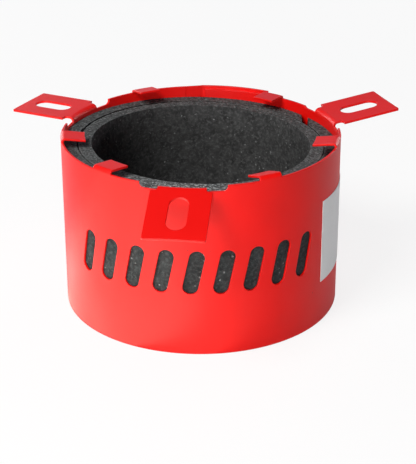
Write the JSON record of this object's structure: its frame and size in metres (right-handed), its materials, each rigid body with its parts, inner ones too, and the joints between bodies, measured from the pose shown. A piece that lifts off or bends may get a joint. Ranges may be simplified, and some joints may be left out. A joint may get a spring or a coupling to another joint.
{
  "type": "pipe fire collar",
  "caption": "Red sheet-steel pipe fire collar with slotted fixing lugs, inward retaining tabs, slanted windows and a wrapped liner that swells in a fire to crush a plastic pipe shut.",
  "frame": {"origin": "centre of the bore in the plane of the casing's plain edge", "axes": "+Z along the pipe's axis towards the rim with the lugs; -Y towards the front lug's side, where the picture was taken"},
  "size_m": [0.1382, 0.12, 0.063],
  "materials": {
    "powder_coat": "semi-gloss red powder coat",
    "liner": "matt graphite sheet with a fine grain",
    "label": "matt off-white paper"
  },
  "bodies": {
    "root": {"casing": "powder_coat", "outer_liner": "liner", "inner_liner": "liner", "label": "label"}
  },
  "joints": []
}
